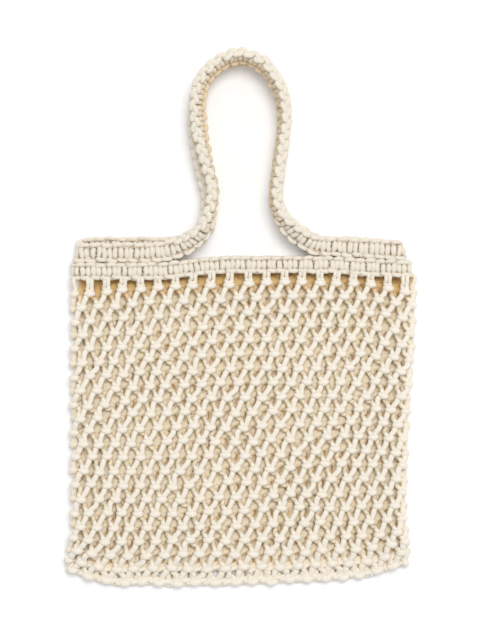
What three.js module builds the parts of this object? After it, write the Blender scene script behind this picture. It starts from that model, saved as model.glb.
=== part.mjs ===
// A knotted cotton net tote bag, lying flat on its back.
//
// Three pieces, as a maker ties them: a netted body worked in the round and closed at the hem,
// a knotted rim band round the mouth, and one long knotted strap. The strap runs along the top
// edge of the rim, round both corners, and stands up as a carrying loop in front and behind.
//
// Millimetres, +Z up. The bag lies on Z = 0 with its front up, +X to its right, +Y to the handle.
// The origin is below the middle of the whole bag's box.
import * as THREE from "three";

const CORD_COLOUR = 0xf1e7d0;
const SEAM_GAP = 0.3; // clearance where one piece is tied against another
const MIDDLE_OF_BOX_X = -0.14; // the middle of the whole bag's box, from the middle of the mouth

// The flattened body: a front and a back layer that meet in round sides.
const BACK_LAYER_Z = 5;
const FRONT_LAYER_Z = 21;
const SIDE_RADIUS = (FRONT_LAYER_Z - BACK_LAYER_Z) / 2;
const LAYER_HALF_LENGTH = 168; // from the middle to where a side starts to turn
const RIGHT_SIDE_DRAW_IN = 10; // the right side comes in by this much down to the hem

// The net. Each strand stands for two of the real cords, at about twice the real pitch.
const COLUMNS = 20; // round the bag, half of them in front
const HEM_ROW = 11; // rows of crossings count down from 0, and this one joins both layers
const STRAND_HALF_DEPTH = 2.3;
const KNOT = {
  halfWidth: 5.6,
  halfHeight: 4.6,
  sideHalfHeight: 2, // the upright sides, between two strands
  capHalfWidth: 1.3, // the level sides, between two strands
  tailHalfWidth: 2.6, // the strand that hangs from the rim
  barHalfWidth: 4.6, // the raised turn of cord across the outside
  barHalfHeight: 1.7,
  barHeight: 5,
};
const HEM_KNOT = { halfWidth: 6.5, footHalfWidth: 3.5, height: 10 };
const FRONT_SLOPES_FROM = 0.88; // share of the way down where the front layer starts to come down
const FRONT_DROP_AT_HEM = 12;

// The rows of knots follow a curve that runs from under the rim to the hem.
const FIRST_ROW_Y = 36.5;
const FIRST_ROW_SAG = 12.6; // how far its ends hang below its middle
const FIRST_ROW_SAG_AT = 165;
const HEM_LOW_Y = -277;
const HEM_LOW_X = -70;
const HEM_RISE = 15; // how far the hem climbs over HEM_RISE_OVER to each side of its lowest place
const HEM_RISE_OVER = 245;

// The knotted bands, each a flat row of square knots.
const RIM = { width: 18, depth: 10, halfLength: 165.5, middleX: -1, knots: 66 };
const RIM_Y = 53.9;
const RIM_DROP = {
  left: { height: 5.6, from: 10, to: 100 }, // how far an end hangs below the middle, and over which length
  right: { height: 4, from: 70, to: 170 },
};
const RIM_STATIONS = 21; // along each layer
const BACK_LIFT = { left: 5, right: 1.5, from: 40, full: 95, fades: 115, ends: 172 }; // where the back shows
const STRAP = { width: 20, depth: 10, halfLength: 161.5, middleX: -2.2, knots: 122 };
const STRAP_ON_STRAP_GAP = 0.8;
const BAND_EDGE_SHARE = 0.68; // the flat part of a band's edge, as a share of its depth
const BAND_FACE_SHARE = 0.75; // the flat part of its face, as a share of its width
const GROOVE = { width: 0.9, depth: 0.76 }; // the section between two knots, as a share of that on one
const CORNER_STEPS = [30, 60, 90, 120, 150]; // degrees round a corner of the mouth
const LENGTH_SAMPLES = 8; // for each ring of a band, to space the rings evenly

// The free part of the strap, left to right: the line of its middle and its tilt, in degrees.
// At 0 it lies flat, and at 90 it stands on its inner edge.
const FRONT_LOOP = [
  { x: -82, y: 69.2, tilt: 1 },
  { x: -62, y: 75, tilt: 28 },
  { x: -45, y: 87, tilt: 55 },
  { x: -34, y: 106, tilt: 76 },
  { x: -30.5, y: 132, tilt: 84 },
  { x: -37, y: 160, tilt: 80 },
  { x: -43.5, y: 190, tilt: 68 },
  { x: -46.5, y: 219, tilt: 57 },
  { x: -42, y: 244.5, tilt: 56 },
  { x: -25, y: 265, tilt: 56 },
  { x: -1.5, y: 273.3, tilt: 57 },
  { x: 22, y: 265, tilt: 60 },
  { x: 39, y: 241, tilt: 68 },
  { x: 45, y: 212, tilt: 76 },
  { x: 42, y: 180, tilt: 80 },
  { x: 37.5, y: 148, tilt: 82 },
  { x: 36, y: 122, tilt: 80 },
  { x: 41.5, y: 105, tilt: 64 },
  { x: 56, y: 88.5, tilt: 44 },
  { x: 78, y: 75.5, tilt: 12 },
];
const BACK_LOOP = [
  { x: -82, y: 74.5, tilt: 5 },
  { x: -61, y: 78, tilt: 28 },
  { x: -43.5, y: 89.5, tilt: 56 },
  { x: -36, y: 108, tilt: 74 },
  { x: -40, y: 132, tilt: 78 },
  { x: -46.5, y: 158, tilt: 78 },
  { x: -50.5, y: 190, tilt: 76 },
  { x: -49, y: 219, tilt: 70 },
  { x: -41.5, y: 243, tilt: 68 },
  { x: -25, y: 261, tilt: 67 },
  { x: -1.5, y: 268.5, tilt: 67 },
  { x: 22, y: 261, tilt: 69 },
  { x: 39, y: 239.5, tilt: 72 },
  { x: 44.5, y: 212, tilt: 78 },
  { x: 41.8, y: 180, tilt: 80 },
  { x: 37.4, y: 148, tilt: 80 },
  { x: 36.2, y: 122, tilt: 78 },
  { x: 42, y: 104, tilt: 66 },
  { x: 57, y: 88.5, tilt: 42 },
  { x: 79, y: 76.5, tilt: 10 },
];
const SEWN_STATIONS = [150, 127, 108, 98]; // where the strap is fixed along the rim, out from the middle

const UP = new THREE.Vector3(0, 0, 1);
const TO_HANDLE = new THREE.Vector3(0, 1, 0);

// A closed solid from points and faces. A face has three or more points and turns left seen from outside.
function solid(name, points, faces) {
  const geometry = new THREE.BufferGeometry();
  geometry.setAttribute(
    "position",
    new THREE.Float32BufferAttribute(points.flatMap((p) => [p.x, p.y, p.z]), 3),
  );
  geometry.setIndex(
    faces.flatMap((face) => face.slice(2).flatMap((_, i) => [face[0], face[i + 1], face[i + 2]])),
  );
  geometry.computeVertexNormals();
  const material = new THREE.MeshStandardMaterial({ color: CORD_COLOUR, roughness: 0.92, metalness: 0 });
  const mesh = new THREE.Mesh(geometry, material);
  mesh.name = name;
  return mesh;
}

// The rim's middle line, up the bag, at a place along it and in depth.
function rimLine(x, z) {
  const { smoothstep } = THREE.MathUtils;
  const out = Math.abs(x);
  const drop = x < 0 ? RIM_DROP.left : RIM_DROP.right;
  const front = RIM_Y - drop.height * smoothstep(out, drop.from, drop.to);
  const lift = x < 0 ? BACK_LIFT.left : BACK_LIFT.right;
  const rises = smoothstep(out, BACK_LIFT.from, BACK_LIFT.full);
  const fades = smoothstep(out, BACK_LIFT.fades, BACK_LIFT.ends);
  const behind = 1 - smoothstep(z, BACK_LAYER_Z, FRONT_LAYER_Z);
  return front + behind * (rises - fades) * lift;
}

// The place and directions of a crossing: along the row, up to the rim, and out of the bag.
const SIDE_QUARTER = (Math.PI / 2) * SIDE_RADIUS;
const HALF_ROUND = 2 * LAYER_HALF_LENGTH + 2 * SIDE_QUARTER;
const COLUMN_PITCH = (2 * HALF_ROUND) / COLUMNS;

// Every other row lies half a pitch on, and so does the hem, which has as many knots behind as in front.
const liesHalfOn = (row) => row % 2 === HEM_ROW % 2;

function crossingFrame(column, row) {
  const down = row / HEM_ROW;
  const around = (column + (liesHalfOn(row) ? 0.5 : 0)) * COLUMN_PITCH;
  const behind = around > HALF_ROUND;
  const run = behind ? around - HALF_ROUND : around;
  const reach = THREE.MathUtils.clamp(run - SIDE_QUARTER, 0, 2 * LAYER_HALF_LENGTH) - LAYER_HALF_LENGTH;
  const pastLayer = Math.max(run, HALF_ROUND - SIDE_QUARTER) - 2 * LAYER_HALF_LENGTH;
  const turned = run < SIDE_QUARTER ? run : pastLayer;
  const angle = turned / SIDE_RADIUS + (behind ? Math.PI : 0);
  const out = new THREE.Vector3(-Math.cos(angle), 0, Math.sin(angle));
  const slope = THREE.MathUtils.smoothstep(down, FRONT_SLOPES_FROM, 1);
  const halfGap = SIDE_RADIUS - (FRONT_DROP_AT_HEM / 2) * slope;
  const spread = 1 + ((Math.PI / 2) * (SIDE_RADIUS - halfGap)) / LAYER_HALF_LENGTH;
  const x = (behind ? -reach : reach) * spread + halfGap * out.x;
  const firstY = FIRST_ROW_Y - FIRST_ROW_SAG * (x / FIRST_ROW_SAG_AT) ** 2;
  const hemY = HEM_LOW_Y + HEM_RISE * ((x - HEM_LOW_X) / HEM_RISE_OVER) ** 2;
  const drawIn = (RIGHT_SIDE_DRAW_IN * down * (x + LAYER_HALF_LENGTH)) / (2 * LAYER_HALF_LENGTH);
  const place = new THREE.Vector3(
    x - drawIn,
    THREE.MathUtils.lerp(firstY, hemY, down),
    BACK_LAYER_Z + halfGap + halfGap * out.z,
  );
  return { place, out, up: TO_HANDLE, along: TO_HANDLE.clone().cross(out) };
}

// The netted body. A crossing is an eight-sided lump: strands leave by its slanting sides, which
// share their corners with the strand, so that the whole net is one skin.
function netBody() {
  const points = [];
  const faces = [];

  const addPoint = (frame, along, up, out) =>
    points.push(
      frame.place
        .clone()
        .addScaledVector(frame.along, along)
        .addScaledVector(frame.up, up)
        .addScaledVector(frame.out, out),
    ) - 1;
  const outline = (halfWidth, capHalfWidth, footHalfWidth) => [
    [halfWidth, KNOT.sideHalfHeight],
    [capHalfWidth, KNOT.halfHeight],
    [-capHalfWidth, KNOT.halfHeight],
    [-halfWidth, KNOT.sideHalfHeight],
    [-halfWidth, -KNOT.sideHalfHeight],
    [-footHalfWidth, -KNOT.halfHeight],
    [footHalfWidth, -KNOT.halfHeight],
    [halfWidth, -KNOT.sideHalfHeight],
  ];
  const addWall = (outer, inner, side) => {
    const next = (side + 1) % outer.length;
    faces.push([outer[side], inner[side], inner[next], outer[next]]);
  };
  // A four-sided strand between two ports, joined corner to corner in the way that twists it least.
  const addStrand = (from, to) => {
    const sides = from.length;
    const turnedTo = from.map((_, turn) => from.map((_, i) => to[(i + turn) % sides]));
    const stretch = (ends) =>
      ends.reduce((sum, end, i) => sum + points[end].distanceToSquared(points[from[i]]), 0);
    const ends = turnedTo.reduce((best, each) => (stretch(each) < stretch(best) ? each : best));
    from.forEach((_, i) => {
      const next = (i + 1) % sides;
      faces.push([from[i], ends[i], ends[next], from[next]]);
    });
  };

  function crossing(column, row) {
    const frame = crossingFrame(column, row);
    const hangs = row === 0;
    const topHalfWidth = hangs ? KNOT.tailHalfWidth : KNOT.capHalfWidth;
    const shape = outline(KNOT.halfWidth, topHalfWidth, KNOT.capHalfWidth);
    const outer = shape.map(([a, b]) => addPoint(frame, a, b, STRAND_HALF_DEPTH));
    const inner = shape.map(([a, b]) => addPoint(frame, a, b, -STRAND_HALF_DEPTH));
    const bar = [[1, 1], [-1, 1], [-1, -1], [1, -1]].map(([a, b]) =>
      addPoint(frame, a * KNOT.barHalfWidth, b * KNOT.barHalfHeight, KNOT.barHeight),
    );
    bar.forEach((corner, i) => {
      const [lead, tail] = [2 * i, 2 * i + 1];
      const nextBar = bar[(i + 1) % bar.length];
      faces.push([outer[lead], outer[tail], corner]);
      faces.push([outer[tail], outer[(tail + 1) % outer.length], nextBar, corner]);
    });
    faces.push(bar, inner.slice().reverse());
    const openSides = hangs ? [1, 4, 6] : [0, 2, 4, 6];
    outer.forEach((_, side) => openSides.includes(side) || addWall(outer, inner, side));
    if (hangs) addTail(frame, outer, inner);
    return {
      fromUpperRight: [outer[1], outer[0], inner[0], inner[1]],
      fromUpperLeft: [outer[3], outer[2], inner[2], inner[3]],
      toLowerLeft: [outer[4], outer[5], inner[5], inner[4]],
      toLowerRight: [outer[6], outer[7], inner[7], inner[6]],
    };
  }

  // The short length that hangs from the rim's lower edge.
  function addTail(frame, outer, inner) {
    const { x, y, z } = frame.place;
    const rimMiddle = Math.min(rimLine(x - KNOT.tailHalfWidth, z), rimLine(x + KNOT.tailHalfWidth, z));
    const length = rimMiddle - RIM.width / 2 - SEAM_GAP - y;
    const [rightOuter, leftOuter, leftInner, rightInner] = [
      [1, 1], [-1, 1], [-1, -1], [1, -1],
    ].map(([a, n]) => addPoint(frame, a * KNOT.tailHalfWidth, length, n * STRAND_HALF_DEPTH));
    addStrand([outer[1], outer[2], inner[2], inner[1]], [rightOuter, leftOuter, leftInner, rightInner]);
    faces.push([leftInner, leftOuter, rightOuter, rightInner]);
  }

  // A hem knot takes two strands of the front layer above two of the back layer.
  function hemKnot(column) {
    const frame = { ...crossingFrame(column, HEM_ROW), out: UP, along: new THREE.Vector3(1, 0, 0) };
    frame.place.z = 0;
    const shape = outline(HEM_KNOT.halfWidth, KNOT.capHalfWidth, HEM_KNOT.footHalfWidth);
    const upperHalf = shape.slice(0, shape.length / 2);
    const low = shape.map(([a, b]) => addPoint(frame, a, b, 0));
    const middle = upperHalf.map(([a, b]) => addPoint(frame, a, b, HEM_KNOT.height / 2));
    const top = shape.map(([a, b]) => addPoint(frame, a, b, HEM_KNOT.height));
    faces.push(top, low.slice().reverse());
    faces.push([middle[2], top[2], top[1], middle[1]], [low[2], middle[2], middle[1], low[1]]);
    faces.push([middle[3], low[3], low[4], top[4], top[3]], [middle[0], top[0], top[7], low[7], low[0]]);
    [4, 5, 6].forEach((side) => addWall(top, low, side));
    const side = (first, second, level) => [level[first], level[second], middle[second], middle[first]];
    return {
      front: { fromUpperRight: side(1, 0, top), fromUpperLeft: side(3, 2, top) },
      back: { fromUpperRight: side(2, 3, low), fromUpperLeft: side(0, 1, low) },
    };
  }

  const rows = [];
  for (let row = 0; row < HEM_ROW; row += 1) {
    rows.push(Array.from({ length: COLUMNS }, (_, column) => crossing(column, row)));
  }
  const hem = Array.from({ length: COLUMNS / 2 }, (_, column) => hemKnot(column));
  rows.push(
    Array.from({ length: COLUMNS }, (_, column) =>
      column < COLUMNS / 2 ? hem[column].front : hem[COLUMNS - 1 - column].back,
    ),
  );
  for (let row = 0; row < HEM_ROW; row += 1) {
    const toLeft = liesHalfOn(row) ? 0 : -1;
    rows[row].forEach((knot, column) => {
      const left = (column + toLeft + COLUMNS) % COLUMNS;
      addStrand(knot.toLowerLeft, rows[row + 1][left].fromUpperRight);
      addStrand(knot.toLowerRight, rows[row + 1][(left + 1) % COLUMNS].fromUpperLeft);
    });
  }
  return solid("net_body", points, faces);
}

// The outline of a band, as shares of half its width and half its depth.
const BAND_OUTLINE = [
  [1, BAND_EDGE_SHARE],
  [BAND_FACE_SHARE, 1],
  [-BAND_FACE_SHARE, 1],
  [-1, BAND_EDGE_SHARE],
  [-1, -BAND_EDGE_SHARE],
  [-BAND_FACE_SHARE, -1],
  [BAND_FACE_SHARE, -1],
  [1, -BAND_EDGE_SHARE],
];

// Half the height that a band takes up when it is tilted out of the flat.
function tiltedHalfHeight(band, tilt) {
  const angle = THREE.MathUtils.degToRad(tilt);
  return Math.max(
    ...BAND_OUTLINE.map(
      ([a, n]) => (a * band.width * Math.sin(angle) + n * band.depth * Math.cos(angle)) / 2,
    ),
  );
}

// A band swept round a closed line of stations, each a point and the direction across the band.
// Every knot is a ridge, with a groove before the next. The side on the ground has no grooves.
function knottedBand(name, band, stations) {
  const line = new THREE.CatmullRomCurve3(stations.map((s) => s.point), true, "centripetal");
  const acrossLine = new THREE.CatmullRomCurve3(stations.map((s) => s.across), true, "centripetal");
  const rings = 2 * band.knots;
  line.arcLengthDivisions = LENGTH_SAMPLES * rings;
  const points = [];
  const faces = [];
  const size = BAND_OUTLINE.length;
  for (let ring = 0; ring < rings; ring += 1) {
    const t = line.getUtoTmapping(ring / rings);
    const centre = line.getPoint(t);
    const tangent = line.getTangent(t);
    const across = acrossLine.getPoint(t);
    across.addScaledVector(tangent, -across.dot(tangent)).normalize();
    const through = tangent.clone().cross(across);
    const inGroove = ring % 2 === 1;
    const onGround = centre.z < band.depth / 2 + SEAM_GAP;
    const corners = BAND_OUTLINE.map(([a, n]) => {
      const bearing = onGround && n * through.z < 0;
      const widthShare = inGroove ? GROOVE.width : 1;
      const depthShare = inGroove && !bearing ? GROOVE.depth : 1;
      return centre
        .clone()
        .addScaledVector(across, (a * widthShare * band.width) / 2)
        .addScaledVector(through, (n * depthShare * band.depth) / 2);
    });
    const sunk = Math.min(0, ...corners.map((corner) => corner.z));
    corners.forEach((corner) => points.push(corner.addScaledVector(UP, -sunk)));
    const [here, next] = [ring * size, ((ring + 1) % rings) * size];
    for (let side = 0; side < size; side += 1) {
      const after = (side + 1) % size;
      faces.push([here + side, here + after, next + after, next + side]);
    }
  }
  return solid(name, points, faces);
}

// Stations round one end of the mouth, from the front layer to the back one or the other way.
function cornerStations(band, side, yAt) {
  const degrees = side > 0 ? CORNER_STEPS : CORNER_STEPS.map((d) => d + 180);
  return degrees.map((d) => {
    const angle = THREE.MathUtils.degToRad(d);
    const x = band.middleX + side * band.halfLength + SIDE_RADIUS * Math.sin(angle);
    const z = BACK_LAYER_Z + SIDE_RADIUS + SIDE_RADIUS * Math.cos(angle);
    return flatStation(x, yAt(x, z), z);
  });
}

function flatStation(x, y, z) {
  return { point: new THREE.Vector3(x, y, z), across: TO_HANDLE.clone() };
}

function rimBand() {
  const layer = (z) =>
    Array.from({ length: RIM_STATIONS }, (_, i) => {
      const x = RIM.middleX + ((2 * i) / (RIM_STATIONS - 1) - 1) * RIM.halfLength;
      return flatStation(x, rimLine(x, z), z);
    });
  return knottedBand("rim_band", RIM, [
    ...layer(FRONT_LAYER_Z),
    ...cornerStations(RIM, 1, rimLine),
    ...layer(BACK_LAYER_Z).reverse(),
    ...cornerStations(RIM, -1, rimLine),
  ]);
}

function carryStrap() {
  const onRim = (x, z) => {
    const slope = (rimLine(x + 1, z) - rimLine(x - 1, z)) / 2;
    return rimLine(x, z) + ((RIM.width + STRAP.width) / 2 + SEAM_GAP) * Math.hypot(1, slope);
  };
  const sewn = (side, z) =>
    SEWN_STATIONS.map((x) => flatStation(side * x, onRim(side * x, z), z));

  // The free loop of one layer, tilted out of the flat as its rows say.
  const loop = (rows, heightAt) =>
    rows.map((row, i) => {
      const before = rows[Math.max(i - 1, 0)];
      const after = rows[Math.min(i + 1, rows.length - 1)];
      const outward = new THREE.Vector3(before.y - after.y, after.x - before.x, 0).normalize();
      const angle = THREE.MathUtils.degToRad(row.tilt);
      return {
        point: new THREE.Vector3(row.x, row.y, heightAt(i)),
        across: outward.multiplyScalar(Math.cos(angle)).addScaledVector(UP, Math.sin(angle)),
      };
    });
  const backHeight = (i) => tiltedHalfHeight(STRAP, BACK_LOOP[i].tilt);
  const frontHeight = (i) =>
    Math.max(
      FRONT_LAYER_Z,
      2 * backHeight(i) + STRAP_ON_STRAP_GAP + tiltedHalfHeight(STRAP, FRONT_LOOP[i].tilt),
    );
  const layer = (rows, heightAt, z) => [
    ...sewn(-1, z),
    ...loop(rows, heightAt),
    ...sewn(1, z).reverse(),
  ];
  return knottedBand("carry_strap", STRAP, [
    ...layer(FRONT_LOOP, frontHeight, FRONT_LAYER_Z),
    ...cornerStations(STRAP, 1, onRim),
    ...layer(BACK_LOOP, backHeight, BACK_LAYER_Z).reverse(),
    ...cornerStations(STRAP, -1, onRim),
  ]);
}

const bag = new THREE.Group();
bag.add(netBody(), rimBand(), carryStrap());
bag.position.x = -MIDDLE_OF_BOX_X;

export default bag;
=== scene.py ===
"""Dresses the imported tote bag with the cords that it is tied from, and sets the floor, light and camera.

Lengths are in millimetres until a mesh is made. The frame is the part's own: the bag lies on its back
on Z = 0, with +Y towards the handles and +X to the right of its front.
"""

import math

import bpy
import numpy as np
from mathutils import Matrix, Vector


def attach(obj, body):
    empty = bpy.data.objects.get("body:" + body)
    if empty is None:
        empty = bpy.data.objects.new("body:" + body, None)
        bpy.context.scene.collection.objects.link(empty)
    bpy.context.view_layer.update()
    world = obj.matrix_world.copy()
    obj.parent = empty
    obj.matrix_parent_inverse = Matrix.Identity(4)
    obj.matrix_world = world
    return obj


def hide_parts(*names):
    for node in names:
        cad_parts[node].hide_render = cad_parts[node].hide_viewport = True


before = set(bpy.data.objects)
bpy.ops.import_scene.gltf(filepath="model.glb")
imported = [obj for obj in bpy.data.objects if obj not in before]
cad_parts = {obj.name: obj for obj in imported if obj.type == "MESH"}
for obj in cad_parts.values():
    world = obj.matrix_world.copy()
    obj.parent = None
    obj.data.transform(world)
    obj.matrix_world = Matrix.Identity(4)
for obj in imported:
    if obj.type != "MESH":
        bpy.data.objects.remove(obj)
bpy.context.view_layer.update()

MM = 0.001
MOUTH_MIDDLE_X = 0.14  # the middle of the mouth in the part's frame
FLOOR_Z = -0.2  # the floor lies just under the lowest cords
FLOOR_EASE = 1.0  # how softly the cords are pressed flat on it
SEED = 11
SCATTER_LIMIT = 2.0  # nothing lies more than this many spreads from its even place

# The flattened body: a front and a back layer that meet in round sides.
BACK_LAYER_Z = 5.0
FRONT_LAYER_Z = 21.0
SIDE_RADIUS = (FRONT_LAYER_Z - BACK_LAYER_Z) / 2
LAYER_HALF_LENGTH = 168.0
SIDE_QUARTER = math.pi / 2 * SIDE_RADIUS
HALF_ROUND = 2 * LAYER_HALF_LENGTH + 2 * SIDE_QUARTER
RIGHT_SIDE_DRAW_IN = 10.0  # the right side comes in by this much down to the hem

# The net: how many knots lie round the bag and down it, and how its rows run.
COLUMNS = 40
HEM_ROW = 21
PITCH = 2 * HALF_ROUND / COLUMNS
ROW_TOP_X = 92.0  # where a row lies highest
LEFT_SAG_OVER = 252.0
RIGHT_SAG_OVER = 80.0
FIRST_ROW = {"y": 35.5, "left_sag": 12.0, "right_sag": 10.0}
HEM = {"y": -281.0, "low_x": -75.0, "rise": 10.8, "rise_over": 245.0}
# How far the hem's corners rise, from where to where along it, and how fast that fades up the bag.
HEM_CORNERS = {"left": (12.5, -135.0, -184.0), "right": (10.0, 135.0, 182.0), "power": 8}
# Where the sides bulge: which side, how far, and where and over what length, as shares of the way down.
SIDE_BULGES = ((-1, 3.5, 0.93, 0.09), (1, 4.2, 0.91, 0.09), (1, 3.2, 0.08, 0.25))
BULGES_FROM = 120.0
BULGES_TO = 172.0
ROW_PITCH = (FIRST_ROW["y"] - HEM["y"]) / HEM_ROW
FRONT_SLOPES_FROM = 0.86  # share of the way down where the front starts to come down to the hem
FRONT_DROP_AT_HEM = 12.0
BACK_RISE_AT_HEM = 0.5
# The middle of the front sinks towards the back: how far, within which rows and how far from the sides.
FRONT_SAG = {"depth": 3.5, "below": (0.02, 0.12), "inside": (172.0, 130.0)}
BACK_FULLER = 0.7  # the back's cords lie spread on the floor, thicker by this share
BACK_WIDER = 0.5  # its knots are pulled wider by this share
BACK_LINKS_OUT = -2.4  # the links between them reach no deeper into the bag than this
# The back's rows lie higher than the front's: by how much, and how far from the sides.
BACK_UP = {"height": 4.0, "inside": (172.0, 120.0)}
HEM_FULLER = 0.15  # the cords of the last rows are thicker by this share
HEM_FULLER_FROM = (0.82, 0.95)  # share of the way down where that starts, and where it is full
# How far the net is turned round the bag: evenly, once and twice round. The back's knots then lie
# half a pitch from the front's.
TURN = {"even": PITCH / 4, "once": -1.4, "twice": 3.6}
# How far knots are spread from their even places along and up, and turned in radians, and how much
# looser the last rows are.
KNOT_SCATTER = {"along": 0.65, "up": 0.65, "turn": 0.12, "looser": 1.6, "looser_rows": 1}
# Patches of the net are pulled askew: how many waves run round the bag and down it, where they start
# as a share of a wave, and how far they pull along and up.
KNOT_WAVES = (
    (3, 1.6, 0.15, 1.5, 1.1),
    (5, -2.4, 0.60, 1.0, 0.8),
    (8, 3.1, 0.35, 0.8, 0.6),
)

# A knot of the net, from its middle: along the row, up, out of the bag, and the cord's radius.
# The first cord slants down to the left, through every knot.
THROUGH_KNOT = (
    (1.9, 3.1, 0.6, 2.85),
    (-0.6, -0.2, -0.9, 2.4),
    (-3.4, -3.4, 0.8, 3.0),
    (-4.7, -6.6, 1.5, 3.0),
)
# The second slants down to the right: behind the first, round it as a bar in front, and on behind it.
ROUND_KNOT = (
    (-4.3, 7.6, -4.1, 2.4),
    (-3.0, 5.5, -0.9, 2.4),
    (-1.7, 2.8, 1.0, 2.5),
    (1.6, 1.0, -2.7, 2.2),
    (3.5, 0.2, -0.7, 2.7),
    (2.8, 0.0, 2.0, 3.3),
    (0.0, -0.3, 2.6, 3.6),
    (-2.8, 0.0, 2.0, 3.3),
    (-3.5, -0.2, -0.7, 2.7),
    (-1.6, -1.2, -2.8, 2.2),
    (1.6, -2.6, -3.6, 2.4),
    (3.6, -4.8, -4.4, 2.4),
)
# At the hem both cords end behind the knot, and its bar hangs like a cup.
HEM_THROUGH_KNOT = (
    (1.8, 3.0, 0.4, 2.5),
    (0.2, -0.4, -0.6, 2.3),
    (-0.6, -1.0, -3.0, 2.0),
)
HEM_ROUND_KNOT = (
    (-4.3, 7.6, -4.1, 2.4),
    (-3.0, 5.5, -0.9, 2.4),
    (-1.6, 2.8, 0.9, 2.45),
    (1.6, 1.4, -2.4, 2.3),
    (4.4, 1.6, -0.4, 2.7),
    (3.3, -0.6, 2.0, 3.0),
    (0.0, -1.6, 2.7, 3.2),
    (-3.3, -0.6, 2.0, 3.0),
    (-4.4, 1.6, -0.4, 2.7),
    (-1.6, -0.4, -2.8, 2.2),
    (0.6, -0.8, -3.0, 2.0),
)
HANGING_AT = 2.0  # the pair of cords that hangs from the rim, to each side of the knot's middle
HANGING_RADIUS = 2.1
HANGING_FROM = 6.5  # below the rim's middle line, inside the rim
# Points on that pair: the share of the way up to there, and out of the bag.
HANGING = ((1.0, -1.0), (0.85, 3.4), (0.5, 2.6), (0.25, 1.0))
# The lacing along the hem: its turns and the steps of each, how far it swings up and in depth, its
# radius, its place below the hem and above the floor, and its shares of painted shade, the same all along.
LACING = {
    "turns": 20,
    "steps": 8,
    "up": 1.8,
    "depth": 3.0,
    "radius": 1.8,
    "below": -0.5,
    "z": 6.0,
    "tints": (0.25, 0.0),
}

# The rim and the strap: rows of square knots, with bumps along their edges.
RIM = {"width": 18.0, "half_length": 166.3, "middle_x": -0.4, "knots": 66, "bump_at": 6.9}
STRAP = {"width": 20.0, "depth": 10.0, "half_length": 161.3, "middle_x": -1.7, "knots": 122, "bump_at": 8.1}
SEAM_GAP = 0.3  # between the rim and the strap that is tied along it
RIM_Y = 53.9
RIM_DROP = {"left": (7.2, 10.0, 100.0), "right": (4.0, 70.0, 170.0)}  # how far, and from where to where
RIM_STATIONS = 21
# The rim's back lies higher than its front: by how much, and how far from the middle that starts, is
# full, fades and ends.
BACK_LIFT = {"left": 7.0, "right": 1.5, "from": 40.0, "full": 95.0, "fades": 158.0, "ends": 178.0}
STRAP_ON_STRAP_GAP = 0.8
BAND_EDGE_SHARE = 0.68  # of its depth that the strap has at its edges
BAND_FACE_SHARE = 0.75  # of its width that its faces have
CORNER_STEPS = (30, 60, 90, 120, 150)  # degrees round an end of the mouth
CORNER_DROP = 2.5  # how much lower the strap lies where it turns round the mouth's ends
CORNER_LEAN = 0.42  # and how far its upper edge leans in there
SEWN_STATIONS = (150.0, 127.0, 108.0, 98.0)  # from the middle, where the strap is tied to the rim
LINE_STEPS = 24  # along a band, between two stations
SLOPE_STEP = 1.0  # to each side, to find how steep the rim lies
SAME_PLACE = 1e-4  # stations closer than this count as one

# Half a square knot, as the cord in front ties it: along as a share of the knot, across as a share of
# the way to the edge bumps, out of the band, and the cord's radius.
HALF_SQUARE_KNOT = (
    (0.00, -0.44, 1.8, 2.75),
    (0.00, 0.00, 2.6, 3.0),
    (0.00, 0.44, 1.8, 2.75),
    (-0.02, 0.64, -0.2, 2.3),
    (-0.08, 0.84, -1.9, 2.6),
    (0.00, 0.96, -3.0, 2.9),
    (0.16, 1.00, -3.0, 3.1),
    (0.34, 1.01, -2.2, 3.3),
    (0.50, 0.99, -1.0, 3.2),
    (0.60, 0.92, 0.3, 2.7),
    (0.53, 0.66, 0.2, 2.3),
)
EDGE_FLATTENING = 0.76  # the edge bumps are pressed to this share of their width
# How far the points of a half knot lie from their even places, with the same columns.
BAND_SCATTER = (0.03, 0.02, 0.2, 0.14)
HALF_KNOT_SCATTER = (0.05, 0.06, 0.35, 0.1)  # and how far the whole half knot lies from its own
FILLERS = {"at": (-0.72, -0.3, 0.3, 0.72), "radius": 1.7}

# The free part of the strap, left to right: the line of its middle and its tilt, in degrees.
FRONT_LOOP = (
    (-82, 67.6, 1),
    (-61, 74, 28),
    (-42.5, 87, 55),
    (-34, 106, 76),
    (-30.5, 132, 84),
    (-37, 160, 80),
    (-43.5, 190, 68),
    (-46.5, 219, 62),
    (-41.5, 244, 65),
    (-24, 263.5, 68),
    (-1.5, 271.5, 70),
    (20.5, 263, 72),
    (37.5, 240.5, 74),
    (45, 212, 78),
    (42, 180, 80),
    (37.5, 148, 82),
    (35.5, 122, 80),
    (40.5, 105, 66),
    (55.5, 87.5, 44),
    (78, 74.3, 12),
)
BACK_LOOP = (
    (-82, 73, 5),
    (-61, 76.5, 28),
    (-41.5, 88.5, 56),
    (-36, 108, 74),
    (-36.8, 132, 78),
    (-43, 158, 78),
    (-48.4, 190, 76),
    (-49, 219, 70),
    (-43, 244, 72),
    (-26, 264, 74),
    (-1.5, 272.5, 75),
    (22.5, 264, 75),
    (39.5, 240.5, 75),
    (44.5, 212, 78),
    (41.8, 180, 80),
    (37.4, 148, 80),
    (36.2, 122, 78),
    (42, 104, 66),
    (57, 87, 42),
    (79, 74.8, 10),
)

# Tubes and their tints of painted shade. Shade runs from 0 on the outside of the net or a band to 1 on
# its inside, and deep is 1 where little light gets; both mix warm, darker colours into the cotton as shade.
PAINTED_SHADE_TINTS = ("shade", "deep")
TUBE_SIDES = 8
RING_START = (0.31, 0.27, 0.91)  # a direction that no cord starts along
NET_STEPS = 2  # along a cord, between two points of a table
BAND_STEPS = 2
# The net's shade: how far out of the bag it ends and is full, the shares of the way down where it
# clears, and how much of it clears at the sides.
NET_SHADE = {"none": 2.2, "full": -3.2, "clears": (0.9, 1.01), "at_sides": 0.4}
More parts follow.
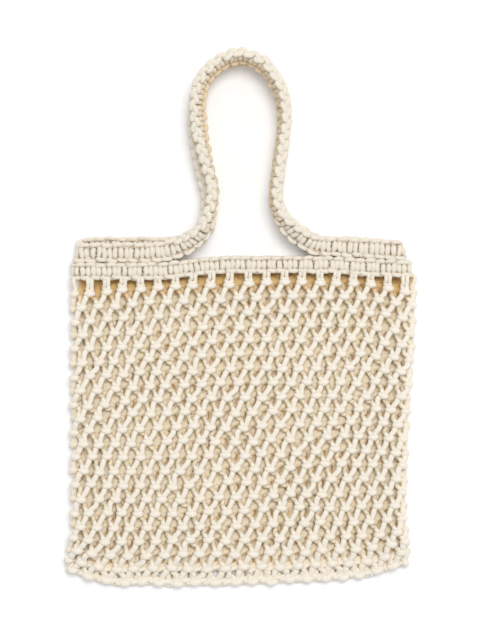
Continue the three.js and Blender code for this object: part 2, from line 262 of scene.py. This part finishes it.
# Deep shade lies between the cords of the back, and on the inside next to the rim.
NET_DEEP = {
    "back_from": (-3.6, -0.6),
    "back_to": (1.5, 3.5),
    "rim_rows": (1.0, -0.1),
    "rim_inside": (1.5, -1.0),
}
# A band's shade: where it ends and is full, as shares of the depth, and how it clears past the bumps.
BAND_SHADE = {"none": 1.0, "full": 0.3, "depth": 3.0, "edge": 2.0, "edge_from": 1.2}
# Deep shade lies on the lower half of the strap's free loop where it stands on its edge.
BAND_DEEP = {"tilted": (0.4, 0.95), "loop_y": (84.0, 120.0), "across": (8.5, -4.5)}


def smoothstep(value, low, high):
    """0 up to the low end and 1 from the high one, with a soft change between."""
    share = np.clip((value - low) / (high - low), 0, 1)
    return share * share * (3 - 2 * share)


def unit(vectors):
    return vectors / np.linalg.norm(vectors, axis=-1, keepdims=True)


def first_row_line(x):
    """How high the first row of knots lies at a place along it."""
    left = np.clip((ROW_TOP_X - x) / LEFT_SAG_OVER, 0, None)
    right = np.clip((x - ROW_TOP_X) / RIGHT_SAG_OVER, 0, None)
    return FIRST_ROW["y"] - FIRST_ROW["left_sag"] * left**2 - FIRST_ROW["right_sag"] * right**2


def hem_line(x):
    """How high the hem lies at a place along it."""
    return HEM["y"] + HEM["rise"] * ((x - HEM["low_x"]) / HEM["rise_over"]) ** 2


def hem_corner_rise(x):
    """How far the hem's corners rise above that."""
    left_rise, left_from, left_to = HEM_CORNERS["left"]
    right_rise, right_from, right_to = HEM_CORNERS["right"]
    return left_rise * smoothstep(x, left_from, left_to) + right_rise * smoothstep(x, right_from, right_to)


def side_bulge(x, down):
    """How far the net's sides swell out."""
    swell = np.zeros_like(x)
    for side, height, at, length in SIDE_BULGES:
        near_side = smoothstep(side * x, BULGES_FROM, BULGES_TO)
        swell += side * height * near_side * np.exp(-(((down - at) / length) ** 2))
    return swell


def net_surface(around, row):
    """Points on the middle of the net, and the directions out of the bag there."""
    down = row / HEM_ROW
    angle = np.pi * around / HALF_ROUND
    turn = TURN["even"] + TURN["once"] * np.sin(angle) + TURN["twice"] * np.sin(2 * angle)
    around = np.mod(around - turn, 2 * HALF_ROUND)
    behind = around > HALF_ROUND
    run = np.where(behind, around - HALF_ROUND, around)
    reach = np.clip(run - SIDE_QUARTER, 0, 2 * LAYER_HALF_LENGTH) - LAYER_HALF_LENGTH
    past_layer = np.maximum(run, HALF_ROUND - SIDE_QUARTER) - 2 * LAYER_HALF_LENGTH
    turned = np.where(run < SIDE_QUARTER, run, past_layer)
    angle = turned / SIDE_RADIUS + np.where(behind, np.pi, 0)
    out = np.stack([-np.cos(angle), np.zeros_like(angle), np.sin(angle)], -1)
    closing = smoothstep(down, FRONT_SLOPES_FROM, 1)
    half_gap = SIDE_RADIUS - (FRONT_DROP_AT_HEM + BACK_RISE_AT_HEM) / 2 * closing
    spread = 1 + math.pi / 2 * (SIDE_RADIUS - half_gap) / LAYER_HALF_LENGTH
    x = np.where(behind, -reach, reach) * spread + half_gap * out[..., 0]
    y = first_row_line(x) * (1 - down) + hem_line(x) * down
    y = y + hem_corner_rise(x) * np.clip(down, 0, None) ** HEM_CORNERS["power"]
    higher = BACK_UP["height"] * smoothstep(abs(x), *BACK_UP["inside"]) * (1 - closing)
    y = y + np.where(behind, higher, 0)
    draw_in = RIGHT_SIDE_DRAW_IN * down * (x + LAYER_HALF_LENGTH) / (2 * LAYER_HALF_LENGTH)
    sag = FRONT_SAG["depth"] * smoothstep(down, *FRONT_SAG["below"])
    sag = sag * smoothstep(abs(x), *FRONT_SAG["inside"])
    z = BACK_LAYER_Z + BACK_RISE_AT_HEM * closing + half_gap * (1 + out[..., 2])
    z = z - sag * np.clip(out[..., 2], 0, 1)
    return np.stack([x - draw_in + side_bulge(x, down), y, z], -1), out


def rim_line(x, z):
    """The rim's middle line, up the bag, at a place along it and in depth."""
    left_drop, left_from, left_to = RIM_DROP["left"]
    right_drop, right_from, right_to = RIM_DROP["right"]
    left = left_drop * smoothstep(-x, left_from, left_to)
    right = right_drop * smoothstep(x, right_from, right_to)
    rises = smoothstep(abs(x), BACK_LIFT["from"], BACK_LIFT["full"])
    fades = smoothstep(abs(x), BACK_LIFT["fades"], BACK_LIFT["ends"])
    lift = np.where(x < 0, BACK_LIFT["left"], BACK_LIFT["right"])
    behind = 1 - smoothstep(z, BACK_LAYER_Z, FRONT_LAYER_Z)
    return RIM_Y - left - right + behind * (rises - fades) * lift


def eased(points, closed, count):
    """Smooth Catmull-Rom lines through points, given as (cords, points, values)."""
    if closed:
        before, after, beyond = (np.roll(points, shift, 1) for shift in (1, -1, -2))
    else:
        padded = np.concatenate([points[:, :1], points, points[:, -1:], points[:, -1:]], 1)
        before, after, beyond = padded[:, :-3], padded[:, 2:-1], padded[:, 3:]
    steps = []
    for step in range(count):
        t = step / count
        bend = 2 * before - 5 * points + 4 * after - beyond
        twist = 3 * points - before - 3 * after + beyond
        steps.append(points + ((after - before) * t + bend * t**2 + twist * t**3) / 2)
    lines = np.stack(steps, 2).reshape(points.shape[0], -1, points.shape[2])
    return lines if closed else lines[:, : 1 - count]


def tube_rings(lines, radius, closed):
    """Rings of points round each line, each turned as little as can be from the one before."""
    if closed:
        tangent = unit(np.roll(lines, -1, 1) - np.roll(lines, 1, 1))
    else:
        tangent = unit(np.gradient(lines, axis=1))
    count = lines.shape[1]
    carried = [unit(np.cross(tangent[:, 0], RING_START))]
    for i in range(1, count + 1):
        t = tangent[:, i % count]
        last = carried[-1]
        carried.append(unit(last - np.sum(last * t, -1, keepdims=True) * t))
    normal = np.stack(carried[:count], 1)
    side = np.cross(tangent, normal)
    turn = np.zeros(lines.shape[:2])
    if closed:
        missed = np.arctan2(
            np.sum(carried[count] * side[:, 0], -1), np.sum(carried[count] * normal[:, 0], -1)
        )
        turn = -missed[:, None] * np.arange(count) / count
    angle = turn[..., None] + 2 * np.pi * np.arange(TUBE_SIDES) / TUBE_SIDES
    spokes = np.cos(angle)[..., None] * normal[:, :, None] + np.sin(angle)[..., None] * side[:, :, None]
    return lines[:, :, None] + radius[:, :, None, None] * spokes


def cord_piece(name, families, material):
    """One piece from families of cords, each its lines, its rings, their tints and whether they close."""
    points, quads, uvs, tints, caps = [], [], [], [], []
    first = 0
    for lines, rings, tint, closed in families:
        cords, count = lines.shape[:2]
        lengths = np.linalg.norm(np.roll(lines, -1, 1) - lines, axis=-1)
        along = np.concatenate([np.zeros((cords, 1)), np.cumsum(lengths, 1)], 1)
        index = first + np.arange(cords * count * TUBE_SIDES).reshape(cords, count, TUBE_SIDES)
        steps = count if closed else count - 1
        near = index[:, :steps]
        far = np.roll(index, -1, 1)[:, :steps]
        quads.append(np.stack([near, np.roll(near, -1, 2), np.roll(far, -1, 2), far], -1).reshape(-1, 4))
        u0 = np.broadcast_to(np.arange(TUBE_SIDES) / TUBE_SIDES, near.shape)
        u1 = u0 + 1 / TUBE_SIDES
        v0 = np.broadcast_to(along[:, :steps, None], near.shape)
        v1 = np.broadcast_to(along[:, 1 : steps + 1, None], near.shape)
        corners = [np.stack(corner, -1) for corner in ((u0, v0), (u1, v0), (u1, v1), (u0, v1))]
        uvs.append(np.stack(corners, -2).reshape(-1, 2))
        if not closed:
            caps.extend(index[:, 0, ::-1].tolist())
            caps.extend(index[:, -1].tolist())
        points.append(rings.reshape(-1, 3))
        tints.append(tint.reshape(-1, len(PAINTED_SHADE_TINTS)))
        first += cords * count * TUBE_SIDES
    places = np.concatenate(points) + (MOUTH_MIDDLE_X, 0, 0)
    places[:, 2] = (places[:, 2] + np.hypot(places[:, 2], FLOOR_EASE)) / 2
    mesh = bpy.data.meshes.new(name)
    mesh.from_pydata((places * MM).tolist(), [], np.concatenate(quads).tolist() + caps)
    uv_values = np.concatenate([*uvs, np.zeros((len(caps) * TUBE_SIDES, 2))])
    uv_values[:, 1] *= MM
    mesh.uv_layers.new(name="cord").data.foreach_set("uv", uv_values.astype(np.float32).ravel())
    for tint_name, values in zip(PAINTED_SHADE_TINTS, np.concatenate(tints).T):
        attribute = mesh.attributes.new(tint_name, "FLOAT", "POINT")
        attribute.data.foreach_set("value", values.astype(np.float32))
    mesh.polygons.foreach_set("use_smooth", np.ones(len(mesh.polygons), bool))
    mesh.materials.append(material)
    piece = bpy.data.objects.new(name, mesh)
    bpy.context.collection.objects.link(piece)
    return piece


# The net


def knot_scatter():
    """How far each knot lies from its even place: along, up, and its turn in radians."""
    random = np.random.default_rng(SEED)
    even = random.normal(size=(HEM_ROW + 1, COLUMNS, 3)).clip(-SCATTER_LIMIT, SCATTER_LIMIT)
    even[-KNOT_SCATTER["looser_rows"] :] *= KNOT_SCATTER["looser"]
    scatter = even * [KNOT_SCATTER["along"], KNOT_SCATTER["up"], KNOT_SCATTER["turn"]]
    down = np.arange(HEM_ROW + 1)[:, None] / HEM_ROW
    around = np.arange(COLUMNS) / COLUMNS
    fading = np.sin(np.pi * down)  # to nothing at the rim and at the hem
    for waves_around, waves_down, start, along, up in KNOT_WAVES:
        share = waves_around * around + waves_down * down + start
        wave = np.sin(2 * np.pi * share) * fading
        scatter[..., 0] += along * wave
        scatter[..., 1] += up * wave
    return scatter


def net_lines(slant, knot, hem_knot, scatter):
    """All cords of one slant, as lines of (around, row, out, radius)."""
    cords = []
    for cord in range(COLUMNS):
        line = []
        for row in range(HEM_ROW + 1):
            place = cord + 0.5 + slant * row / 2
            along, up, turn = scatter[row, math.floor(place) % COLUMNS]
            at_back = place % COLUMNS > COLUMNS / 2
            wider = 1 + BACK_WIDER * at_back
            for sideways, upward, out, radius in hem_knot if row == HEM_ROW else knot:
                out = max(out, BACK_LINKS_OUT) if at_back else out
                turned_sideways = sideways * wider * math.cos(turn) - upward * math.sin(turn)
                turned_upward = sideways * math.sin(turn) + upward * math.cos(turn)
                around = place * PITCH + turned_sideways + along
                line.append((around, row - (turned_upward + up) / ROW_PITCH, out, radius))
        cords.append(line)
    return np.array(cords)


def hung_from_rim(lines, side):
    """Lines with the length from inside the rim down to the first knot put before them."""
    around = (np.arange(COLUMNS) + 0.5) * PITCH + side * HANGING_AT
    place, _ = net_surface(around, np.zeros(COLUMNS))
    rim = rim_line(place[:, 0], place[:, 2]) - HANGING_FROM
    top = HEM_ROW * (rim - place[:, 1]) / (hem_line(place[:, 0]) - place[:, 1])
    share, out = np.array(HANGING).T
    rows = top[:, None] * share + lines[:, :1, 1] * (1 - share)
    hanging = np.stack(
        [
            np.broadcast_to(around[:, None], rows.shape),
            rows,
            np.broadcast_to(out, rows.shape),
            np.full(rows.shape, HANGING_RADIUS),
        ],
        -1,
    )
    return np.concatenate([hanging, lines], 1)


def net_family(lines):
    """Cords of the net, from lines of (around, row, out, radius)."""
    smooth = eased(lines, closed=False, count=NET_STEPS)
    place, out = net_surface(smooth[..., 0], smooth[..., 1])
    middle = place + smooth[..., 2:3] * out
    behind = ((1 - out[..., 2]) / 2) ** 2
    down = smooth[..., 1] / HEM_ROW
    at_hem = smoothstep(down, *HEM_FULLER_FROM)
    fuller = 1 + BACK_FULLER * behind * (1 - at_hem) + HEM_FULLER * at_hem
    rings = tube_rings(middle, smooth[..., 3] * fuller, closed=False)
    # Painted shade: the inner sides of the cords take the warm shade colour, and the back's cords between
    # each other and the inside next to the rim take painted deep shade; the shade clears towards the hem and
    # at the sides.
    height = np.sum((rings - place[:, :, None]) * out[:, :, None], -1)
    shade = 1 - smoothstep(height, NET_SHADE["full"], NET_SHADE["none"])
    clear = 1 - smoothstep(down, *NET_SHADE["clears"])
    clear = clear * (1 - NET_SHADE["at_sides"] * abs(out[..., 0]))
    shade = shade * clear[..., None]
    between = smoothstep(height, *NET_DEEP["back_from"]) - smoothstep(height, *NET_DEEP["back_to"])
    at_rim = smoothstep(smooth[..., 1:2], *NET_DEEP["rim_rows"])
    at_rim = at_rim * smoothstep(height, *NET_DEEP["rim_inside"]) * (1 - abs(out[..., :1]))
    deep = np.maximum(between * behind[..., None] * clear[..., None], at_rim)
    return middle, rings, np.stack([shade, deep], -1), False


def lacing_family():
    """The cord that laces front and back together along the hem."""
    share = np.linspace(0, 1, LACING["turns"] * LACING["steps"] + 1)
    angle = 2 * np.pi * LACING["turns"] * share
    across = (2 * share - 1) * LAYER_HALF_LENGTH
    x = across - RIGHT_SIDE_DRAW_IN * share
    y = hem_line(across) + hem_corner_rise(across) - LACING["below"] + LACING["up"] * np.sin(angle)
    z = LACING["z"] + LACING["depth"] * np.cos(angle)
    lines = np.stack([x, y, z], -1)[None]
    rings = tube_rings(lines, np.full(lines.shape[:2], LACING["radius"]), closed=False)
    tints = np.full((*rings.shape[:3], len(PAINTED_SHADE_TINTS)), LACING["tints"])
    return lines, rings, tints, False


def net_families():
    """The cords of each piece of the net, by the piece's name."""
    scatter = knot_scatter()
    through = hung_from_rim(net_lines(-1, THROUGH_KNOT, HEM_THROUGH_KNOT, scatter), 1)
    wound = net_lines(1, ROUND_KNOT, HEM_ROUND_KNOT, scatter)
    wound = hung_from_rim(wound[:, 1:], -1)
    half = COLUMNS // 2
    return {
        "net_through_cords": [net_family(through), lacing_family()],
        "net_wound_cords_left": [net_family(wound[:half])],
        "net_wound_cords_right": [net_family(wound[half:])],
    }


# The rim and the strap


def through_stations(values):
    """A smooth closed line through stations, with more bend where they lie close together."""
    before, after, beyond = (np.roll(values, shift, 0) for shift in (1, -1, -2))

    def spacing(start, end):
        return np.linalg.norm(end - start, axis=-1, keepdims=True) ** 0.5

    here = spacing(values, after)
    here = np.where(here < SAME_PLACE, 1.0, here)
    lead = spacing(before, values)
    lead = np.where(lead < SAME_PLACE, here, lead)
    trail = spacing(after, beyond)
    trail = np.where(trail < SAME_PLACE, here, trail)
    leaving = (values - before) / lead - (after - before) / (lead + here) + (after - values) / here
    arriving = (after - values) / here - (beyond - values) / (here + trail) + (beyond - after) / trail
    leaving = leaving * here
    arriving = arriving * here
    square = 3 * (after - values) - 2 * leaving - arriving
    cube = 2 * (values - after) + leaving + arriving
    steps = [values + leaving * t + square * t**2 + cube * t**3 for t in np.arange(LINE_STEPS) / LINE_STEPS]
    return np.stack(steps, 1).reshape(-1, 3)


class BandLine:
    """The closed middle line of a band, with the directions across and out of it at any length along."""

    def __init__(self, stations):
        centre = through_stations(np.array([point for point, _ in stations], float))
        across = through_stations(np.array([across for _, across in stations], float))
        tangent = unit(np.roll(centre, -1, 0) - np.roll(centre, 1, 0))
        across = unit(across - np.sum(across * tangent, -1, keepdims=True) * tangent)
        steps = np.linalg.norm(np.roll(centre, -1, 0) - centre, axis=-1)
        self.length = steps.sum()
        self.at = np.concatenate([[0], np.cumsum(steps)])
        self.values = np.concatenate([centre, across, np.cross(tangent, across)], 1)
        self.values = np.concatenate([self.values, self.values[:1]])

    def frames(self, along):
        found = [np.interp(np.mod(along, self.length), self.at, column) for column in self.values.T]
        found = np.stack(found, -1)
        return found[..., :3], unit(found[..., 3:6]), unit(found[..., 6:])


def band_family(line, band, lines):
    """Closed cords of a band, from lines of (along, across, out, radius)."""
    loose = lines.copy()
    point_count = lines.shape[1]
    even = np.arange(point_count) / point_count * line.length
    loose[..., 0] -= even
    smooth = eased(loose, closed=True, count=BAND_STEPS)
    smooth[..., 0] += np.arange(smooth.shape[1]) / smooth.shape[1] * line.length
    centre, across, out = line.frames(smooth[..., 0])
    middle = centre + smooth[..., 1:2] * across + smooth[..., 2:3] * out
    rings = tube_rings(middle, smooth[..., 3], closed=True)
    sideways = np.sum((rings - middle[:, :, None]) * across[:, :, None], -1, keepdims=True)
    rings -= (1 - EDGE_FLATTENING) * sideways * across[:, :, None]
    # Painted shade: the deep parts between the bars take the dark shade colour, and the lower half of the
    # loop's tilted faces takes painted deep shade.
    away = rings - centre[:, :, None]
    aside = np.sum(away * across[:, :, None], -1)
    depth = abs(np.sum(away * out[:, :, None], -1)) / BAND_SHADE["depth"]
    edge = (abs(aside) - band["bump_at"]) / BAND_SHADE["edge"]
    outermost = np.maximum(depth, edge + BAND_SHADE["edge_from"])
    shade = 1 - smoothstep(outermost, BAND_SHADE["full"], BAND_SHADE["none"])
    tilted = 1 - smoothstep(abs(out[..., 2]), *BAND_DEEP["tilted"])
    in_loop = tilted * smoothstep(centre[..., 1], *BAND_DEEP["loop_y"])
    low = smoothstep(aside, *BAND_DEEP["across"])
    return middle, rings, np.stack([shade, in_loop[..., None] * low], -1), True


def band_families(line, band):
    """The cord with the bars in front, the one with the bars behind, and the cords that they are tied on."""
    knots = band["knots"]
    pitch = line.length / knots
    front = []
    for half_knot in range(2 * knots):
        side = 1 if half_knot % 2 == 0 else -1
        for along, across, out, radius in HALF_SQUARE_KNOT:
            place = (half_knot / 2 + along) * pitch
            front.append((place, side * across * band["bump_at"], out, radius))
    random = np.random.default_rng(SEED + knots)
    unevenness = random.normal(size=(2, len(front), 4)).clip(-SCATTER_LIMIT, SCATTER_LIMIT) * BAND_SCATTER
    shifts = random.normal(size=(2, 2 * knots, 4)).clip(-SCATTER_LIMIT, SCATTER_LIMIT) * HALF_KNOT_SCATTER
    unevenness += np.repeat(shifts, len(HALF_SQUARE_KNOT), 1)
    unevenness *= (pitch, band["bump_at"], 1, 1)
    front = np.array(front)
    back = front * (1, -1, -1, 1) + unevenness[1]
    front = front + unevenness[0]
    fillers = []
    for share in FILLERS["at"]:
        filler = np.zeros((knots, 4))
        filler[:, 0] = np.arange(knots) * pitch
        filler[:, 1] = share * band["bump_at"]
        filler[:, 3] = FILLERS["radius"]
        fillers.append(filler)
    return [band_family(line, band, cords) for cords in (front[None], back[None], np.stack(fillers))]


def flat_station(x, y, z):
    """A station where the band lies flat: its place, and the direction across the band."""
    return (x, y, z), (0, 1, 0)


def corner_stations(band, side, y_at, drop=0.0, lean=0.0):
    """Stations round one end of the mouth, from the front layer to the back one or the other way."""
    stations = []
    for step in CORNER_STEPS:
        angle = math.radians(step if side > 0 else step + 180)
        x = band["middle_x"] + side * band["half_length"] + SIDE_RADIUS * math.sin(angle)
        z = BACK_LAYER_Z + SIDE_RADIUS + SIDE_RADIUS * math.cos(angle)
        y = y_at(x, z) - drop * math.sin(angle) ** 2
        stations.append(((x, y, z), (-lean * math.sin(angle), 1, 0)))
    return stations


def rim_stations():
    """Stations all round the rim."""

    def layer(z):
        places = np.linspace(-1, 1, RIM_STATIONS) * RIM["half_length"] + RIM["middle_x"]
        return [flat_station(x, rim_line(x, z), z) for x in places]

    return [
        *layer(FRONT_LAYER_Z),
        *corner_stations(RIM, 1, rim_line),
        *reversed(layer(BACK_LAYER_Z)),
        *corner_stations(RIM, -1, rim_line),
    ]


def tilted_half_height(tilt):
    """Half the height that the strap takes up when it is tilted out of the flat."""
    rise = math.sin(math.radians(tilt))
    run = math.cos(math.radians(tilt))
    corners = ((1, BAND_EDGE_SHARE), (BAND_FACE_SHARE, 1))
    return max((wide * STRAP["width"] * rise + deep * STRAP["depth"] * run) / 2 for wide, deep in corners)


def on_rim(x, z):
    """The strap's middle line where it is tied along the rim."""
    slope = (rim_line(x + SLOPE_STEP, z) - rim_line(x - SLOPE_STEP, z)) / (2 * SLOPE_STEP)
    return rim_line(x, z) + ((RIM["width"] + STRAP["width"]) / 2 + SEAM_GAP) * math.hypot(1, slope)


def loop_stations(rows, heights):
    """Stations along one free loop, with the strap tilted out of the flat."""
    stations = []
    for i, ((x, y, tilt), z) in enumerate(zip(rows, heights)):
        before = rows[max(i - 1, 0)]
        after = rows[min(i + 1, len(rows) - 1)]
        outward = unit(np.array([before[1] - after[1], after[0] - before[0], 0.0]))
        across = outward * math.cos(math.radians(tilt)) + np.array([0, 0, math.sin(math.radians(tilt))])
        stations.append(((x, y, z), tuple(across)))
    return stations


def strap_stations():
    """Stations all round the strap: front loop, right corner, back loop and left corner."""
    back_heights = [tilted_half_height(tilt) for _, _, tilt in BACK_LOOP]
    front_heights = [
        max(FRONT_LAYER_Z, 2 * back + STRAP_ON_STRAP_GAP + tilted_half_height(tilt))
        for back, (_, _, tilt) in zip(back_heights, FRONT_LOOP)
    ]

    def layer(rows, heights, z):
        left = [flat_station(-x, on_rim(-x, z), z) for x in SEWN_STATIONS]
        right = [flat_station(x, on_rim(x, z), z) for x in SEWN_STATIONS]
        return [*left, *loop_stations(rows, heights), *reversed(right)]

    return [
        *layer(FRONT_LOOP, front_heights, FRONT_LAYER_Z),
        *corner_stations(STRAP, 1, on_rim, CORNER_DROP, CORNER_LEAN),
        *reversed(layer(BACK_LOOP, back_heights, BACK_LAYER_Z)),
        *corner_stations(STRAP, -1, on_rim, CORNER_DROP, CORNER_LEAN),
    ]


# Materials

# Each cotton has two colours outside, in soft patches, and one colour of painted shade for each tint with
# its share.
NET_COTTON = {
    "outside": ((0.905, 0.845, 0.75, 1), (0.885, 0.81, 0.695, 1)),
    "shade": ((0.90, 0.79, 0.605, 1), 0.9),
    "deep": ((0.80, 0.53, 0.19, 1), 0.9),
}
# The band's outside colours are the net's cotton painted darker, as shade of its tightly packed knots; its
# tints are painted shade in the creases and on the loop's turned faces.
SHADED_BAND_COTTON = {
    "outside": ((0.855, 0.795, 0.695, 1), (0.78, 0.71, 0.60, 1)),
    "shade": ((0.50, 0.38, 0.23, 1), 0.85),
    "deep": ((0.80, 0.60, 0.33, 1), 0.6),
}
COTTON_SURFACE = {
    "Roughness": 0.92,
    "Specular IOR Level": 0.25,
    "Subsurface Weight": 0.1,
    "Subsurface Radius": (1.0, 0.8, 0.55),
    "Subsurface Scale": 0.004,
    "Sheen Weight": 0.25,
    "Sheen Roughness": 0.5,
}
# In metres, as the shader counts. The scales of noise are in waves a metre.
PATCHES = {"scale": 55.0, "detail": 3.0, "share": 0.45}
BRAID = {"strands": 3, "lay": 0.0030, "height": 0.00012}
FIBRE = {"scale": 1400.0, "detail": 2.0, "height": 0.00010}
BUMP = {"Strength": 0.6, "Distance": 1.0}


def set_inputs(node, values):
    """Sets sockets of a node by their names."""
    for socket_name, value in values.items():
        node.inputs[socket_name].default_value = value


def cotton(name, look):
    """Undyed cotton cord: fine braid and fibre in the surface, and painted warm shade inside the knots."""
    material = bpy.data.materials.new(name)
    material.use_nodes = True
    tree = material.node_tree
    shader = tree.nodes["Principled BSDF"]

    def node(kind, **settings):
        made = tree.nodes.new(kind)
        for key, value in settings.items():
            setattr(made, key, value)
        return made

    def math_node(operation, first, second=0.0):
        made = node("ShaderNodeMath", operation=operation)
        for socket, value in zip(made.inputs, (first, second)):
            if isinstance(value, (int, float)):
                socket.default_value = value
            else:
                tree.links.new(value, socket)
        return made.outputs[0]

    def mixed(factor, first, second):
        made = node("ShaderNodeMix", data_type="RGBA")
        tree.links.new(factor, made.inputs["Factor"])
        for socket, value in ((made.inputs["A"], first), (made.inputs["B"], second)):
            if isinstance(value, tuple):
                socket.default_value = value
            else:
                tree.links.new(value, socket)
        return made.outputs["Result"]

    place = node("ShaderNodeTexCoord").outputs["Object"]

    def noise(scale, detail):
        made = node("ShaderNodeTexNoise")
        set_inputs(made, {"Scale": scale, "Detail": detail})
        tree.links.new(place, made.inputs["Vector"])
        return made.outputs["Fac"]

    patches = noise(PATCHES["scale"], PATCHES["detail"])
    coloured = mixed(math_node("MULTIPLY", patches, PATCHES["share"]), *look["outside"])
    # Painted shade: each tint mixes in its warm, darker colour where the cords lie in shade.
    for tint_name in PAINTED_SHADE_TINTS:
        colour, share = look[tint_name]
        tint = node("ShaderNodeAttribute", attribute_name=tint_name).outputs["Fac"]
        coloured = mixed(math_node("MULTIPLY", tint, share), coloured, colour)
    tree.links.new(coloured, shader.inputs["Base Color"])

    uv = node("ShaderNodeSeparateXYZ")
    tree.links.new(node("ShaderNodeUVMap", uv_map="cord").outputs["UV"], uv.inputs[0])
    turned = math_node("MULTIPLY", uv.outputs["X"], 2 * math.pi * BRAID["strands"])
    laid = math_node("MULTIPLY", uv.outputs["Y"], 2 * math.pi / BRAID["lay"])
    one_way = math_node("SINE", math_node("ADD", laid, turned))
    other_way = math_node("SINE", math_node("SUBTRACT", laid, turned))
    braid = math_node("MULTIPLY", math_node("MAXIMUM", one_way, other_way), BRAID["height"])
    fibre = math_node("MULTIPLY", noise(FIBRE["scale"], FIBRE["detail"]), FIBRE["height"])
    bump = node("ShaderNodeBump")
    set_inputs(bump, BUMP)
    tree.links.new(math_node("ADD", braid, fibre), bump.inputs["Height"])
    tree.links.new(bump.outputs["Normal"], shader.inputs["Normal"])
    set_inputs(shader, COTTON_SURFACE)
    return material


# Stage: floor, light and camera

PIXEL = 1.05  # millimetres on the bag for each pixel of the frame
FRAME_ROWS = 640
CAMERA = {"x": -1.96, "y": -4.2, "lens": 110.0, "sensor": 36.0, "focus_z": 18.0}
# The floor, and the patch of it under the net: left, right, low and high edge. The patch glows warm
# though it is no lamp, painting warm shade into the gaps of the net, which makes them brown.
FLOOR_REACH = (-6000.0, 6000.0, -6000.0, 6000.0)
UNDER_NET = (-171.0, 171.0, -266.0, 50.0)
FLOOR_FACES = ((0, 1, 5, 4), (1, 2, 6, 5), (2, 3, 7, 6), (3, 0, 4, 7), (4, 5, 6, 7))
FLOOR_PAPERS = {
    "floor_paper": {
        "Base Color": (0.94, 0.955, 0.99, 1),
        "Emission Color": (1.0, 0.98, 0.95, 1),
        "Emission Strength": 0.05,
    },
    "glowing_patch_under_net": {
        "Base Color": (0.81, 0.88, 0.985, 1),
        "Emission Color": (1.0, 0.62, 0.18, 1),
        "Emission Strength": 0.20,
    },
}
PAPER_SURFACE = {"Roughness": 1.0, "Specular IOR Level": 0.0}
SKY = {"Color": (1.0, 0.995, 0.985, 1), "Strength": 0.58}
# In metres and watts.
KEY_LIGHT = {"place": (0.476, 1.054, 3.57), "size": 1.87, "energy": 78.0, "colour": (1.0, 0.985, 0.955)}


def set_stage():
    """White paper with a glowing patch that paints warm shade under the net, an even sky, one large light
    from the upper right and the camera straight above.
    """
    floor_mesh = bpy.data.meshes.new("floor")
    corners = []
    for left, right, low, high in (FLOOR_REACH, UNDER_NET):
        corners += [(left, low), (right, low), (right, high), (left, high)]
    floor_mesh.from_pydata([(x * MM, y * MM, FLOOR_Z * MM) for x, y in corners], [], FLOOR_FACES)
    floor = bpy.data.objects.new("floor", floor_mesh)
    bpy.context.collection.objects.link(floor)
    for paper_name, look in FLOOR_PAPERS.items():
        paper = bpy.data.materials.new(paper_name)
        paper.use_nodes = True
        set_inputs(paper.node_tree.nodes["Principled BSDF"], {**PAPER_SURFACE, **look})
        floor_mesh.materials.append(paper)
    floor_mesh.polygons[-1].material_index = list(FLOOR_PAPERS).index("glowing_patch_under_net")

    world = bpy.data.worlds.new("studio")
    world.use_nodes = True
    set_inputs(world.node_tree.nodes["Background"], SKY)
    bpy.context.scene.world = world

    key = bpy.data.objects.new("key_light", bpy.data.lights.new("key_light", "AREA"))
    key.data.shape = "DISK"
    key.data.size = KEY_LIGHT["size"]
    key.data.energy = KEY_LIGHT["energy"]
    key.data.color = KEY_LIGHT["colour"]
    key.location = KEY_LIGHT["place"]
    key.rotation_mode = "QUATERNION"
    key.rotation_quaternion = (-key.location).to_track_quat("-Z", "Y")
    bpy.context.collection.objects.link(key)

    camera = bpy.data.objects.new("camera", bpy.data.cameras.new("camera"))
    camera.data.sensor_fit = "VERTICAL"
    camera.data.sensor_height = CAMERA["sensor"]
    camera.data.sensor_width = CAMERA["sensor"]
    camera.data.lens = CAMERA["lens"]
    distance = FRAME_ROWS * PIXEL * CAMERA["lens"] / CAMERA["sensor"]
    camera.location = Vector((CAMERA["x"], CAMERA["y"], CAMERA["focus_z"] + distance)) * MM
    bpy.context.collection.objects.link(camera)
    bpy.context.scene.camera = camera
    bpy.context.scene.view_settings.view_transform = "Standard"


# Pieces

net_cotton = cotton("net_cotton", NET_COTTON)
shaded_band_cotton = cotton("shaded_band_cotton", SHADED_BAND_COTTON)
pieces = []
for piece_name, net_part in net_families().items():
    pieces.append((cord_piece(piece_name, net_part, net_cotton), "net_body", "net_cord"))
rim = cord_piece("rim_knots", band_families(BandLine(rim_stations()), RIM), shaded_band_cotton)
pieces.append((rim, "rim_band", "band_cord"))
strap_front, strap_back, strap_fillers = band_families(BandLine(strap_stations()), STRAP)
for piece_name, strap_part in (
    ("strap_front_cord", [strap_front, strap_fillers]),
    ("strap_back_cord", [strap_back]),
):
    pieces.append((cord_piece(piece_name, strap_part, shaded_band_cotton), "carry_strap", "band_cord"))
for piece, node_name, slot_name in pieces:
    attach(piece, "root")
    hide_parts(node_name)

set_stage()
